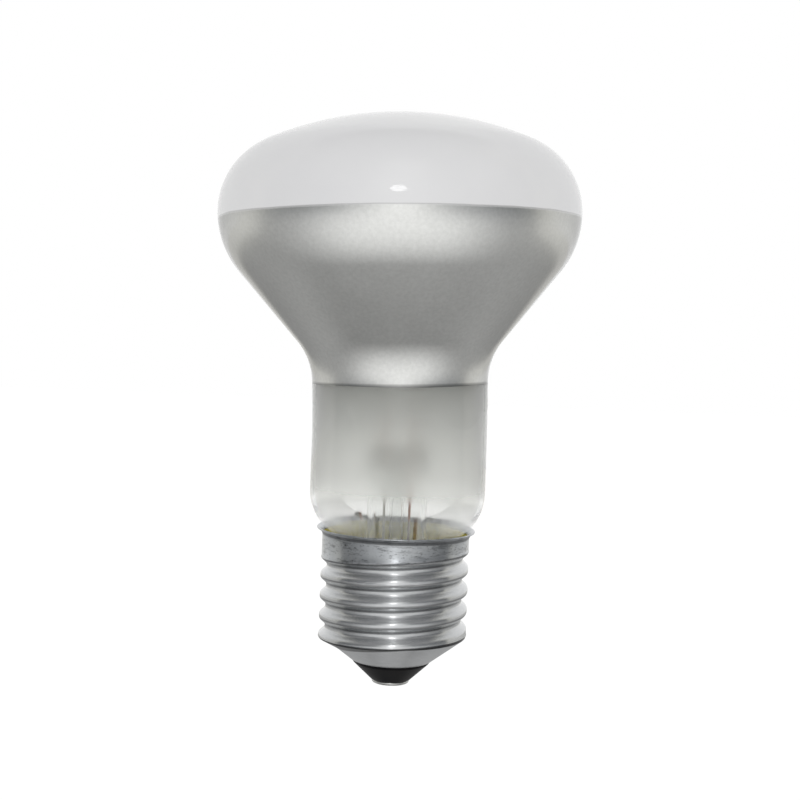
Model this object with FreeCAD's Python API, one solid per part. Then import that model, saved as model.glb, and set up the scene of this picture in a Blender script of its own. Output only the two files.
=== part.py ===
"""Reflector bulb: a mushroom-shaped incandescent lamp with a mirrored bowl and an Edison screw cap.

The blown glass envelope has a white-coated dome, a bowl silvered on its inside, and a frosted neck whose
foot is clear. The stem, a flared glass tube with a pinch, is fused into the foot of the neck. It carries the
lead wires, the exhaust tube and the filament mount. The cap is a rolled sheet shell filled with cement round
the neck's foot, and closed by a black glass insulator that holds the centre contact.

Frame: millimetres, +Z up along the axis of the cap, origin at the middle of the contact's underside.
The neck bends a little to -X, as it was sealed slightly off line on the lamp in the photograph, so
everything above the bend leans by NECK_LEAN_DEG.
"""
import FreeCAD, Part
import math
import os
from FreeCAD import Placement, Rotation, Vector

# Driving dimensions of the lamp
BULB_R = 31.75             # widest radius
DOME_R = 59.5              # front of the dome
SHOULDER_R = 13.4          # turn from the dome to the widest ring
BOWL_R = 16.0              # turn below the widest ring
BOWL_SLOPE_DEG = 39.6      # straight side of the bowl, from the lamp's axis
THROAT_R = 11.4            # hollow turn from the bowl into the neck
NECK_R = 15.5
NECK_LENGTH = 19.25        # straight part of the neck, before it is bent
GLASS_T = 0.7
NECK_LEAN_DEG = 2.2        # lean of the bulb from the axis of the cap
BEND_FROM_FOOT = 6.0       # plain neck left below the bend
BEND_FROM_THROAT = 2.0     # and above it
MIRROR_BELOW_RING = 1.0    # edge of the mirror under the widest ring
MIRROR_BELOW_THROAT = 0.2  # edge of the mirror on the neck
COATING_T = 0.1

# Foot of the neck, where the stem is fused in
FOOT_TURN_R = 9.0
FOOT_SLOPE_DEG = 50.0      # straight stretch below that turn, from the axis
FOOT_BELOW_RIM = 1.1       # where that stretch meets the neck's end
SEAL_GAP = 0.75            # between the neck's end and the cap's thread
SEAL_T = 1.0               # glass is thicker where it was melted
SEAL_DEPTH = 7.0           # the neck's end below the rim of the cap

# Stem
STEM_R = 5.3
STEM_T = 0.8
STEM_FLARE_Z = 29.0        # where the tube starts to open out
STEM_RIM_T = 0.75          # height of the rim that is fused to the neck
PINCH_FOOT_Z = 36.5        # where the round tube starts to flatten
PINCH_FLAT_Z = 41.0
PINCH_TOP_Z = 46.5
PINCH_W = 9.4
PINCH_D = 3.4
CAVITY_FLAT_Z = 39.6       # inside of the stem under the pinch
CAVITY_TOP_Z = 40.2
CAVITY_W = 6.4
CAVITY_D = 1.8
EXHAUST_R = 1.3
EXHAUST_T = 0.45
EXHAUST_TOP_Z = 42.0
EXHAUST_TIP_Z = 12.5
EXHAUST_TAPER = 2.2        # length that was drawn out where the tube was melted off
EXHAUST_TIP_R = 0.55

# Mount that carries the filament
LEAD_R = 0.22
LEAD_X = 2.25              # each lead from the stem's axis
SEAL_WIRE_LOW_Z = 38.6     # the length of lead that is sealed in the pinch, and a little more
SEAL_WIRE_TOP_Z = 47.4
ROD_R = 0.9
ROD_SUNK = 1.5             # into the top of the pinch
ROD_TOP_Z = 56.5
BUTTON_R = 1.9
BUTTON_H = 2.6
SUPPORT_R = 0.16
SUPPORT_SUNK = 1.2         # into the button, below its top
FILAMENT_ABOVE_NECK = 12.2 # the coil over the top of the neck
FILAMENT_RING_R = 7.0
FILAMENT_SPAN_DEG = 230.0  # the part of a circle that the filament goes round, open to the front
FILAMENT_COIL_R = 0.36
FILAMENT_TAIL = 1.0        # coil beyond the hook of each lead
INNER_LEAD_RISE = 3.0      # straight end of each inner lead above the pinch
HOOK_RISE = 2.0            # upright end of a wire below its hook
HOOK_GAP = 0.08            # between a hook and the coil it carries

# Screw cap
SHEET_T = 0.3
RIM_Z = 27.6
RIM_FLARE = 0.75           # how far the rim stands out beyond the skirt
RIM_TURN_R = 1.3           # outside of the turn that flares the rim
SKIRT_R = 13.15
SKIRT_LOW_Z = 23.0
THREAD_PITCH = 3.629
THREAD_MAJOR_R = 13.1
THREAD_MINOR_R = 12.05
THREAD_FLAT = 0.84         # flat on each crest and in each root
TOP_CREST_Z = 20.15        # highest crest, at the front
LAST_CREST_Z = 9.0         # plain ring that ends the thread
LAST_RING_R = 13.15
UNDERSIDE_DEG = 62.0       # underside of that ring, from the cap's axis
NOSE_SLOPE_DEG = 52.6      # cone that holds the insulator, from the cap's axis
NOSE_R = 7.2
NOSE_Z = 4.45

# Insulator, contact, cement and solder
INSULATOR_EDGE_R = 6.8
INSULATOR_EDGE_Z = 3.9
INSULATOR_TOP_Z = 7.6
INSULATOR_SEAT_R = 9.8
INSULATOR_DISH_R = 3.6
INSULATOR_DISH_Z = 6.0
CONTACT_R = 3.55
CONTACT_TOP_Z = 1.05
CONTACT_LOW_Z = 0.2
CONTACT_EDGE_R = 0.35
SHANK_R = 1.3
SHANK_BORE_R = 0.65
SHANK_TOP_Z = 5.4
SOLDER_FACE_R = 1.7
SOLDER_FOOT_R = 2.35
SOLDER_TOP_Z = 1.9
CEMENT_BELOW_RIM = 0.6
CEMENT_LOW_Z = 23.2
CEMENT_INNER_LOW_Z = 22.2

# Leads below the pinch, the fuse and the side joint
CENTRE_LEAD_END_Z = 0.9
FUSE_X = 2.7
FUSE_R = 0.95
FUSE_BORE_R = 0.6
FUSE_LOW_Z = 11.2
FUSE_TOP_Z = 18.4
FUSE_END_T = 0.9
FUSE_CHAMFER = 0.3
FUSE_WIRE_R = 0.07
SIDE_LEAD_DEG = 121.0      # where the side lead comes up beside the neck, from +X
SIDE_LEAD_LOW_Z = 19.4
SKIRT_LEAD_RISE = 2.0      # where it has come across to the skirt, above the foot of the skirt
SIDE_LEAD_GAP = 0.5        # between the side lead and the skirt
SIDE_LEAD_OVER_RIM = 0.3   # and between it and the rim
SIDE_JOINT_R = 0.75        # dab of solder on the rim
SIDE_JOINT_H = 1.3
SIDE_JOINT_EDGE_R = 0.4

AXIS = Vector(0, 0, 1)
ORIGIN = Vector(0, 0, 0)
FRONT_TURN = 0.75          # the front, -Y, as a share of a turn from +X


def at(radius, height):
    """A point of an outline, in the plane of X and Z."""
    return Vector(radius, 0, height)


def on_circle(centre, radius, degrees):
    """The point of a circle in the plane of X and Z, its angle measured from +X towards +Z."""
    angle = math.radians(degrees)
    return centre + Vector(radius * math.cos(angle), 0, radius * math.sin(angle))


def line(start, end):
    return Part.makeLine(start, end)


def arc(centre, radius, start_deg, end_deg):
    """An arc in the plane of X and Z."""
    middle = on_circle(centre, radius, (start_deg + end_deg) / 2)
    ends = on_circle(centre, radius, start_deg), on_circle(centre, radius, end_deg)
    return Part.Arc(ends[0], middle, ends[1]).toShape()


def chain(edges):
    """Joins a run of edges with straight lines wherever one doesn't start where the last ended."""
    joined = []
    for edge in edges:
        if joined:
            gap_from, gap_to = end_of(joined[-1]), start_of(edge)
            if gap_from.distanceToPoint(gap_to) > 1e-6:
                joined.append(line(gap_from, gap_to))
        joined.append(edge)
    return joined


def start_of(edge):
    return edge.valueAt(edge.FirstParameter)


def end_of(edge):
    return edge.valueAt(edge.LastParameter)


def turned(edges):
    """A solid of revolution about the cap's axis from a closed run of edges."""
    edges = chain(edges)
    if end_of(edges[-1]).distanceToPoint(start_of(edges[0])) > 1e-6:
        edges.append(line(end_of(edges[-1]), start_of(edges[0])))
    face = Part.Face(Part.Wire(edges))
    solid = face.revolve(ORIGIN, AXIS, 360)
    if solid.Volume < 0:
        solid.reverse()
    return Part.Solid(solid) if solid.ShapeType != "Solid" else solid


def turned_polygon(points):
    """A solid of revolution from a closed polygon of (radius, height) pairs, where some may repeat."""
    corners = [at(*point) for point in points]
    sides = zip(corners, corners[1:] + corners[:1])
    return turned([line(a, b) for a, b in sides if a.distanceToPoint(b) > 1e-6])


def rod(start, end, radius):
    """A round rod between two points."""
    return Part.makeCylinder(radius, start.distanceToPoint(end), start, end - start)


def bent_wire(points, radius):
    """A round wire through the points, mitred at each corner."""
    section = Part.Wire(Part.makeCircle(radius, points[0], points[1] - points[0]))
    sharp_corners = 1
    return Part.makePolygon(points).makePipeShell([section], True, False, sharp_corners)


def spun(point, degrees):
    """A point turned about the cap's axis."""
    return Rotation(AXIS, degrees).multVec(point)


# Outline of the glass: arc centres and heights on the straightened lamp, before the neck is bent.
# First the foot, from the neck's end inside the cap up to the plain neck.
seal_r = THREAD_MINOR_R - SHEET_T - SEAL_GAP
seal_z = RIM_Z - SEAL_DEPTH
foot_slope = math.radians(FOOT_SLOPE_DEG)
foot_turn_end = on_circle(at(NECK_R - FOOT_TURN_R, 0), FOOT_TURN_R, -FOOT_SLOPE_DEG)
foot_top_z = RIM_Z - FOOT_BELOW_RIM + (foot_turn_end.x - seal_r) / math.tan(foot_slope) - foot_turn_end.z
foot_centre = at(NECK_R - FOOT_TURN_R, foot_top_z)

# Then the bowl and the dome, from the top of the neck.
slope = math.radians(BOWL_SLOPE_DEG)
throat_z = foot_top_z + NECK_LENGTH
throat_centre = at(NECK_R + THROAT_R, throat_z)
bowl_start = on_circle(throat_centre, THROAT_R, 180 - BOWL_SLOPE_DEG)
bowl_end_r = BULB_R - BOWL_R * (1 - math.cos(slope))
bowl_end_z = bowl_start.z + (bowl_end_r - bowl_start.x) / math.tan(slope)
ring_z = bowl_end_z + BOWL_R * math.sin(slope)
bowl_centre = at(BULB_R - BOWL_R, ring_z)
shoulder_centre = at(BULB_R - SHOULDER_R, ring_z)
dome_drop = math.sqrt((DOME_R - SHOULDER_R) ** 2 - (BULB_R - SHOULDER_R) ** 2)
dome_centre = at(0, ring_z - dome_drop)
dome_top_z = dome_centre.z + DOME_R
shoulder_deg = math.degrees(math.atan2(dome_drop, BULB_R - SHOULDER_R))

# The bend of the neck
bend_low_z = foot_top_z + BEND_FROM_FOOT
bend_length = throat_z - BEND_FROM_THROAT - bend_low_z
bend_top_z = bend_low_z + bend_length
bend_r = bend_length / math.radians(NECK_LEAN_DEG)
bend_centre = Vector(-bend_r, 0, bend_low_z)


def lean(shape):
    """Moves a piece of the straightened lamp above the bend to where the bent neck carries it."""
    leaning = Placement(Vector(), Rotation(Vector(0, -1, 0), NECK_LEAN_DEG), bend_centre)
    lowered = Placement(Vector(0, 0, -bend_length), Rotation())
    moved = shape.copy()
    moved.Placement = leaning.multiply(lowered).multiply(shape.Placement)
    return moved


def upper_outline(inset, low_z):
    """Edges from the dome's top down to low_z on the neck, inset from the outside of the glass."""
    return [
        arc(dome_centre, DOME_R - inset, 90, shoulder_deg),
        arc(shoulder_centre, SHOULDER_R - inset, shoulder_deg, 0),
        arc(bowl_centre, BOWL_R - inset, 0, -BOWL_SLOPE_DEG),
        arc(throat_centre, THROAT_R + inset, 180 - BOWL_SLOPE_DEG, 180),
        line(at(NECK_R - inset, throat_z), at(NECK_R - inset, low_z)),
    ]


def foot_outline(inset, end_r):
    """Edges from the plain neck down to its end, inset from the outside of the glass."""
    turn_end = on_circle(foot_centre, FOOT_TURN_R - inset, -FOOT_SLOPE_DEG)
    end_top_z = turn_end.z - (turn_end.x - end_r) / math.tan(foot_slope)
    return [
        line(at(NECK_R - inset, bend_low_z), at(NECK_R - inset, foot_top_z)),
        arc(foot_centre, FOOT_TURN_R - inset, 0, -FOOT_SLOPE_DEG),
        line(turn_end, at(end_r, end_top_z)),
        line(at(end_r, end_top_z), at(end_r, seal_z)),
    ]


def reversed_edges(edges):
    """The same run of edges, drawn the other way."""
    back = []
    for edge in reversed(chain(edges)):
        if edge.Curve.TypeId == "Part::GeomLine":
            back.append(line(end_of(edge), start_of(edge)))
        else:
            middle = edge.valueAt((edge.FirstParameter + edge.LastParameter) / 2)
            back.append(Part.Arc(end_of(edge), middle, start_of(edge)).toShape())
    return back


def glass_envelope():
    """The blown bulb: dome, bowl, bent neck and the foot that is melted onto the stem."""
    outer, inner = upper_outline(0, bend_top_z), upper_outline(GLASS_T, bend_top_z)
    upper = lean(turned(outer + reversed_edges(inner)))
    rings = [Part.Wire(Part.makeCircle(r, at(0, bend_low_z))) for r in (NECK_R, NECK_R - GLASS_T)]
    section = Part.makeFace(rings, "Part::FaceMakerBullseye")
    bend = section.revolve(bend_centre, Vector(0, -1, 0), NECK_LEAN_DEG)
    foot = turned(foot_outline(0, seal_r) + reversed_edges(foot_outline(GLASS_T, seal_r - SEAL_T)))
    return upper.fuse([bend, foot]).Solids[0]


def coating(high, low):
    """A film on the inside of the glass, between two heights of the straightened lamp."""
    outside, inside = GLASS_T, GLASS_T + COATING_T
    full = turned(upper_outline(outside, bend_top_z) + reversed_edges(upper_outline(inside, bend_top_z)))
    band = Part.makeCylinder(2 * BULB_R, high - low, at(0, low))
    return lean(full.common(band))


def mirror_coating():
    """Aluminium film inside the bowl, from the widest ring to the top of the neck."""
    return coating(ring_z - MIRROR_BELOW_RING, throat_z - MIRROR_BELOW_THROAT)


def white_coating():
    """White powder film inside the dome."""
    return coating(dome_top_z, ring_z - MIRROR_BELOW_RING)


# Stem and the mount on it

LAST_HOLDER = 4            # the filament is carried at five points, 0 and 4 on the leads
SUPPORTS = {"right": 1, "rear": 2, "left": 3}

stem_rise = STEM_FLARE_Z - (seal_z + STEM_RIM_T)
stem_reach = seal_r - SEAL_T - STEM_R
flare_half = math.atan2(stem_reach, stem_rise)
flare_r = stem_rise / math.sin(2 * flare_half)
flare_deg = math.degrees(2 * flare_half)
flare_centre = at(STEM_R + flare_r, STEM_FLARE_Z)
vent_z = EXHAUST_TOP_Z - EXHAUST_R   # where the tube opens to the inside of the bulb


def pressed(radius, foot_z, width, depth, flat_z, top_z):
    """A round bar, pressed from its foot up into a flat one of the given width and depth."""
    bar = Part.makeCylinder(radius, top_z - foot_z, at(0, foot_z))
    for half, way, across in ((width / 2, Vector(1, 0, 0), Vector(0, 1, 0)),
                              (depth / 2, Vector(0, 1, 0), Vector(1, 0, 0))):
        side = [(radius, foot_z), (half, flat_z), (half, top_z)]
        corners = side + [(-reach, height) for reach, height in reversed(side)]
        points = [way * reach + AXIS * height - across * radius for reach, height in corners]
        face = Part.Face(Part.makePolygon(points + points[:1]))
        bar = bar.common(face.extrude(across * (2 * radius)))
    return bar


def stem():
    """The flared tube with its top pressed flat round the seal wires."""
    inner_r = STEM_R - STEM_T
    rim_r = seal_r - SEAL_T
    rim_low = on_circle(flare_centre, flare_r + STEM_T, 180 + flare_deg)
    tube = turned([
        line(at(STEM_R, PINCH_FOOT_Z), at(STEM_R, STEM_FLARE_Z)),
        arc(flare_centre, flare_r, 180, 180 + flare_deg),
        line(at(rim_r, seal_z + STEM_RIM_T), at(rim_r, rim_low.z)),
        line(at(rim_r, rim_low.z), rim_low),
        arc(flare_centre, flare_r + STEM_T, 180 + flare_deg, 180),
        line(at(inner_r, STEM_FLARE_Z), at(inner_r, PINCH_FOOT_Z)),
    ])
    pinch = pressed(STEM_R, PINCH_FOOT_Z, PINCH_W, PINCH_D, PINCH_FLAT_Z, PINCH_TOP_Z)
    cavity = pressed(inner_r, PINCH_FOOT_Z, CAVITY_W, CAVITY_D, CAVITY_FLAT_Z, CAVITY_TOP_Z)
    vent = rod(at(0, vent_z), Vector(0, STEM_R, vent_z), EXHAUST_R - EXHAUST_T)
    sealed_in = [seal_wire(-1), seal_wire(1), plain_rod(), exhaust_bar()]
    return tube.fuse(pinch.cut([cavity, vent] + sealed_in)).removeSplitter().Solids[0]


def exhaust_bar():
    """The outside of the exhaust tube, up to where it ends in the pinch."""
    taper_z = EXHAUST_TIP_Z + EXHAUST_TAPER
    return turned_polygon([
        (0, EXHAUST_TOP_Z),
        (EXHAUST_R, EXHAUST_TOP_Z),
        (EXHAUST_R, taper_z),
        (EXHAUST_TIP_R, EXHAUST_TIP_Z),
        (0, EXHAUST_TIP_Z),
    ])


def exhaust_tube():
    """The narrow tube that the lamp was pumped through, its lower end melted shut."""
    bore_r = EXHAUST_R - EXHAUST_T
    taper_z = EXHAUST_TIP_Z + EXHAUST_TAPER
    top_z = vent_z + bore_r
    bore = turned_polygon([(0, top_z), (bore_r, top_z), (bore_r, taper_z), (0, taper_z - bore_r)])
    vent = rod(at(0, vent_z), Vector(0, STEM_R, vent_z), bore_r)
    return exhaust_bar().cut([bore, vent])


def plain_rod():
    """The outline of the glass rod on the pinch and of the button at its top."""
    foot = PINCH_TOP_Z - ROD_SUNK
    low = ROD_TOP_Z - BUTTON_H
    round_r = BUTTON_R / 2
    return turned([
        line(at(0, foot), at(ROD_R, foot)),
        line(at(ROD_R, foot), at(ROD_R, low)),
        line(at(ROD_R, low), at(BUTTON_R, low + (BUTTON_R - ROD_R))),
        arc(at(BUTTON_R - round_r, ROD_TOP_Z - round_r), round_r, 0, 90),
        line(at(BUTTON_R - round_r, ROD_TOP_Z), at(0, ROD_TOP_Z)),
    ])


def support_rod():
    """The glass rod on top of the pinch, ending in a button that holds the supports."""
    return plain_rod().cut([support_wire(number) for number in SUPPORTS.values()])


def filament_point(number):
    """The middle of the coil where holder number 0 to 4 carries it: a lead at each end and the supports."""
    return spun(Vector(FILAMENT_RING_R, 0, throat_z + FILAMENT_ABOVE_NECK), holder_deg(number))


def holder_deg(number):
    return 90 + FILAMENT_SPAN_DEG * (number / LAST_HOLDER - 0.5)


def filament():
    """The outer form of the coiled filament, straight between the wires that carry it."""
    points = [filament_point(number) for number in range(LAST_HOLDER + 1)]
    points[0] += (points[0] - points[1]).normalize() * FILAMENT_TAIL
    points[-1] += (points[-1] - points[-2]).normalize() * FILAMENT_TAIL
    return bent_wire(points, FILAMENT_COIL_R)


def hook(number, wire_r):
    """The last points of a wire that comes up inside the coil, over it and down again."""
    reach = FILAMENT_COIL_R + HOOK_GAP + wire_r
    middle = filament_point(number)
    outward = spun(Vector(1, 0, 0), holder_deg(number))
    inner, outer = middle - outward * reach, middle + outward * reach
    return [inner - AXIS * HOOK_RISE, inner + AXIS * reach, outer + AXIS * reach, outer]


def support_wire(number):
    """A support from the button to a hook over the filament."""
    turn = holder_deg(number)
    root = spun(Vector(BUTTON_R / 2, 0, ROD_TOP_Z - SUPPORT_SUNK), turn)
    knee = spun(Vector(BUTTON_R * 1.5, 0, ROD_TOP_Z + SUPPORT_SUNK), turn)
    return bent_wire([root, knee] + hook(number, SUPPORT_R), SUPPORT_R)


def seal_wire(side):
    """The short copper-clad length that runs through the pinch."""
    return rod(Vector(side * LEAD_X, 0, SEAL_WIRE_LOW_Z), Vector(side * LEAD_X, 0, SEAL_WIRE_TOP_Z), LEAD_R)


def inner_lead(side):
    """The stiff lead above the pinch, hooked over an end of the filament."""
    start = Vector(side * LEAD_X, 0, SEAL_WIRE_TOP_Z)
    number = 0 if side > 0 else LAST_HOLDER
    points = [start, start + AXIS * INNER_LEAD_RISE] + hook(number, LEAD_R)
    return bent_wire(points, LEAD_R)


def outer_lead_side():
    """The lead from the pinch down through the flare, round the neck's end and over the rim."""
    outward = spun(Vector(1, 0, 0), SIDE_LEAD_DEG)
    beside_neck = outward * ((seal_r + THREAD_MINOR_R - SHEET_T) / 2)
    beside_skirt = outward * (SKIRT_R - SHEET_T - LEAD_R - SIDE_LEAD_GAP)
    over_z = rim_end.z + LEAD_R + SIDE_LEAD_OVER_RIM
    points = [
        Vector(LEAD_X, 0, SEAL_WIRE_LOW_Z),
        Vector(LEAD_X, 0, STEM_FLARE_Z),
        Vector(LEAD_X, EXHAUST_R, STEM_FLARE_Z - STEM_R),
        Vector(0, EXHAUST_R + 4 * LEAD_R, SIDE_LEAD_LOW_Z),
        beside_neck + AXIS * SIDE_LEAD_LOW_Z,
        beside_neck + AXIS * CEMENT_INNER_LOW_Z,
        beside_skirt + AXIS * (SKIRT_LOW_Z + SKIRT_LEAD_RISE),
        beside_skirt + AXIS * rim_turn_z,
        outward * (rim_end.x - LEAD_R) + AXIS * over_z,
        outward * (rim_r + LEAD_R) + AXIS * over_z,
    ]
    return bent_wire(points, LEAD_R)


def outer_lead_upper():
    """The lead from the pinch down to the fuse."""
    points = [
        Vector(-LEAD_X, 0, SEAL_WIRE_LOW_Z),
        Vector(-LEAD_X, 0, FUSE_TOP_Z + 3 * FUSE_R),
        Vector(-FUSE_X, 0, FUSE_TOP_Z + FUSE_R),
        Vector(-FUSE_X, 0, FUSE_TOP_Z - FUSE_END_T),
    ]
    return bent_wire(points, LEAD_R)


def outer_lead_contact():
    """The lead from the fuse down through the insulator to the solder on the contact."""
    points = [
        Vector(-FUSE_X, 0, FUSE_LOW_Z + FUSE_END_T),
        Vector(-FUSE_X, 0, FUSE_LOW_Z - FUSE_R),
        Vector(0, 0, INSULATOR_TOP_Z),
        Vector(0, 0, CENTRE_LEAD_END_Z),
    ]
    return bent_wire(points, LEAD_R)


def fuse_sleeve():
    """The little glass sleeve round the fuse wire, closed on the lead at each end."""
    low, high = Vector(-FUSE_X, 0, FUSE_LOW_Z), Vector(-FUSE_X, 0, FUSE_TOP_Z)
    sleeve = rod(low, high, FUSE_R)
    rims = [edge for edge in sleeve.Edges if edge.Curve.TypeId == "Part::GeomCircle"]
    closed_end = AXIS * FUSE_END_T
    hollow = rod(low + closed_end, high - closed_end, FUSE_BORE_R)
    return sleeve.makeChamfer(FUSE_CHAMFER, rims).cut([hollow, rod(low, high, LEAD_R)])


def fuse_wire():
    """The thin wire that melts if the lamp arcs."""
    low, high = FUSE_LOW_Z + FUSE_END_T, FUSE_TOP_Z - FUSE_END_T
    return rod(Vector(-FUSE_X, 0, low), Vector(-FUSE_X, 0, high), FUSE_WIRE_R)


# Screw cap

underside = math.radians(UNDERSIDE_DEG)
nose_slope = math.radians(NOSE_SLOPE_DEG)
flank_reach = THREAD_PITCH / 2 - THREAD_FLAT
flank_slope = flank_reach / (THREAD_MAJOR_R - THREAD_MINOR_R)
ring_low_z = LAST_CREST_Z - THREAD_FLAT / 2
ring_top_z = LAST_CREST_Z + THREAD_FLAT / 2
flank_foot_r = THREAD_MINOR_R - SHEET_T
ring_crest = [
    (LAST_RING_R, ring_low_z),
    (LAST_RING_R, ring_top_z),
    (flank_foot_r, ring_top_z + (LAST_RING_R - flank_foot_r) * flank_slope),
]
steep, shallow = 1 / math.tan(underside), 1 / math.tan(nose_slope)
nose_top_r = (ring_low_z - NOSE_Z + shallow * NOSE_R - steep * LAST_RING_R) / (shallow - steep)
nose_top_z = NOSE_Z + shallow * (nose_top_r - NOSE_R)
nose_end = at(NOSE_R - SHEET_T * math.cos(nose_slope), NOSE_Z + SHEET_T * math.sin(nose_slope))
rim_r = SKIRT_R + RIM_FLARE
rim_turn_deg = math.degrees(math.acos(1 - RIM_FLARE / RIM_TURN_R))
rim_turn_z = RIM_Z - RIM_TURN_R * math.sin(math.radians(rim_turn_deg))
rim_centre = at(SKIRT_R + RIM_TURN_R, rim_turn_z)
rim_end = on_circle(rim_centre, RIM_TURN_R + SHEET_T, 180 - rim_turn_deg)


def inset_outline(points, inset):
    """An open outline of (radius, height) points that runs upwards, moved towards the axis."""
    moved = []
    for before, (radius, height), after in zip(points[:1] + points, points, points[1:] + points[-1:]):
        ways = [Vector(radius - before[0], height - before[1]), Vector(after[0] - radius, after[1] - height)]
        left = [Vector(-way.y, way.x).normalize() for way in ways if way.Length > 0]
        mitre = (left[0] + left[-1]) * (inset / (1 + left[0].dot(left[-1])))
        moved.append((radius + mitre.x, height + mitre.y))
    return moved


def at_radius(first, second, radius):
    """The point of the straight line through two outline points that lies at a radius."""
    share = (radius - first[0]) / (second[0] - first[0])
    return radius, first[1] + share * (second[1] - first[1])


def helix(radius, start_z, turns):
    curve = Part.makeHelix(THREAD_PITCH, THREAD_PITCH * turns, radius)
    curve.translate(Vector(0, 0, start_z))
    return curve.Edges[0]


def thread_crest(inset):
    """The outline of one crest at height 0: its flat and its two flanks, run down into the core."""
    half_flat, root_r = THREAD_FLAT / 2, THREAD_MINOR_R
    outline = [(root_r, -half_flat - flank_reach), (THREAD_MAJOR_R, -half_flat),
               (THREAD_MAJOR_R, half_flat), (root_r, half_flat + flank_reach)]
    outline = inset_outline(outline, inset)
    foot_r = THREAD_MINOR_R - inset - 2 * SHEET_T
    return [at_radius(*outline[:2], foot_r), *outline[1:3], at_radius(*outline[2:], foot_r)]


def thread_ridge(inset):
    """The right-handed ridge, from the plain ring at the bottom up into the skirt."""
    turns = (SKIRT_LOW_Z - LAST_CREST_Z) / THREAD_PITCH + 0.5
    outline = thread_crest(inset)
    closed = outline + outline[:1]
    faces = []
    for low, high in zip(closed, closed[1:]):
        faces.append(Part.makeRuledSurface(helix(*low, turns), helix(*high, turns)))
    for turn in (0, turns):
        corners = [spun(at(radius, height + turn * THREAD_PITCH), 360 * turn) for radius, height in closed]
        faces.append(Part.Face(Part.makePolygon(corners)))
    shell = Part.Shell(faces)
    shell.sewShape()
    ridge = Part.Solid(shell)
    if ridge.Volume < 0:
        ridge.reverse()
    first_turn = FRONT_TURN - (TOP_CREST_Z - LAST_CREST_Z) / THREAD_PITCH
    ridge.Placement = Placement(Vector(0, 0, LAST_CREST_Z), Rotation(AXIS, 360 * first_turn))
    above_ring = Part.makeCylinder(rim_r, RIM_Z - LAST_CREST_Z, at(0, LAST_CREST_Z))
    return ridge.common(above_ring)


def nose_and_ring(inset):
    """The solid inside the nose and the plain ring above it, where the thread starts."""
    outline = inset_outline([(NOSE_R, NOSE_Z), (nose_top_r, nose_top_z)] + ring_crest, inset)
    foot = [(0, nose_end.z - inset), (nose_end.x, nose_end.z)]
    return turned_polygon(foot + outline + [(0, outline[-1][1])])


def skirt_and_rim(inset):
    """The solid inside the plain skirt and its flared rim, with the shoulder under the skirt."""
    flank_low_z = SKIRT_LOW_Z - (SKIRT_R - flank_foot_r) * flank_slope
    corners = [(flank_foot_r, flank_low_z), (SKIRT_R, SKIRT_LOW_Z), (SKIRT_R, rim_turn_z)]
    shoulder = [at(*point) for point in inset_outline(corners, inset)]
    return turned([
        line(at(0, shoulder[0].z), shoulder[0]),
        line(shoulder[0], shoulder[1]),
        line(shoulder[1], shoulder[2]),
        arc(rim_centre, RIM_TURN_R + inset, 180, 180 - rim_turn_deg),
        line(rim_end, at(0, rim_end.z + inset)),
    ])


def cap_core(inset):
    """The solid inside the shell's outer face, or with an inset of SHEET_T inside its inner face."""
    root = Part.makeCylinder(THREAD_MINOR_R - inset, SKIRT_LOW_Z - LAST_CREST_Z, at(0, LAST_CREST_Z))
    plain = root.fuse([nose_and_ring(inset), skirt_and_rim(inset)])
    return plain.fuse(thread_ridge(inset))


def cap_shell():
    """The sheet shell: flared rim, plain skirt, rolled thread and the nose turned in on the insulator."""
    return cap_core(0).cut(cap_core(SHEET_T)).Solids[0]


def nose_inside(radius):
    """Height of the inside of the nose at a radius."""
    return nose_end.z + (radius - nose_end.x) / math.tan(nose_slope)


def cap_insulator():
    """Black glass cast into the nose of the shell, with the hole for the contact's shank."""
    return turned_polygon([
        (SHANK_R, CONTACT_TOP_Z),
        (CONTACT_R, CONTACT_TOP_Z),
        (INSULATOR_EDGE_R, INSULATOR_EDGE_Z),
        (nose_end.x, nose_end.z),
        (INSULATOR_SEAT_R, nose_inside(INSULATOR_SEAT_R)),
        (INSULATOR_SEAT_R, INSULATOR_TOP_Z),
        (INSULATOR_DISH_R, INSULATOR_TOP_Z),
        (SHANK_R, INSULATOR_DISH_Z),
    ])


def contact_plate():
    """The centre contact: a round plate with a hollow shank set in the insulator."""
    return turned([
        line(at(SHANK_BORE_R, CONTACT_LOW_Z), at(CONTACT_R - CONTACT_EDGE_R, CONTACT_LOW_Z)),
        arc(at(CONTACT_R - CONTACT_EDGE_R, CONTACT_LOW_Z + CONTACT_EDGE_R), CONTACT_EDGE_R, -90, 0),
        line(at(CONTACT_R, CONTACT_LOW_Z + CONTACT_EDGE_R), at(CONTACT_R, CONTACT_TOP_Z)),
        line(at(CONTACT_R, CONTACT_TOP_Z), at(SHANK_R, CONTACT_TOP_Z)),
        line(at(SHANK_R, CONTACT_TOP_Z), at(SHANK_R, SHANK_TOP_Z)),
        line(at(SHANK_R, SHANK_TOP_Z), at(SHANK_BORE_R, SHANK_TOP_Z)),
    ])


def contact_solder():
    """Solder that fills the foot of the shank and stands proud of the plate."""
    rise = CONTACT_LOW_Z
    spread = SOLDER_FOOT_R - SOLDER_FACE_R
    side_r = (rise**2 + spread**2) / (2 * rise)
    side_deg = math.degrees(math.asin(spread / side_r))
    blob = turned([
        line(at(0, 0), at(SOLDER_FACE_R, 0)),
        arc(at(SOLDER_FACE_R, side_r), side_r, -90, -90 + side_deg),
        line(at(SOLDER_FOOT_R, CONTACT_LOW_Z), at(SHANK_BORE_R, CONTACT_LOW_Z)),
        line(at(SHANK_BORE_R, CONTACT_LOW_Z), at(SHANK_BORE_R, SOLDER_TOP_Z)),
        line(at(SHANK_BORE_R, SOLDER_TOP_Z), at(0, SOLDER_TOP_Z)),
    ])
    return blob.cut(outer_lead_contact())


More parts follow.
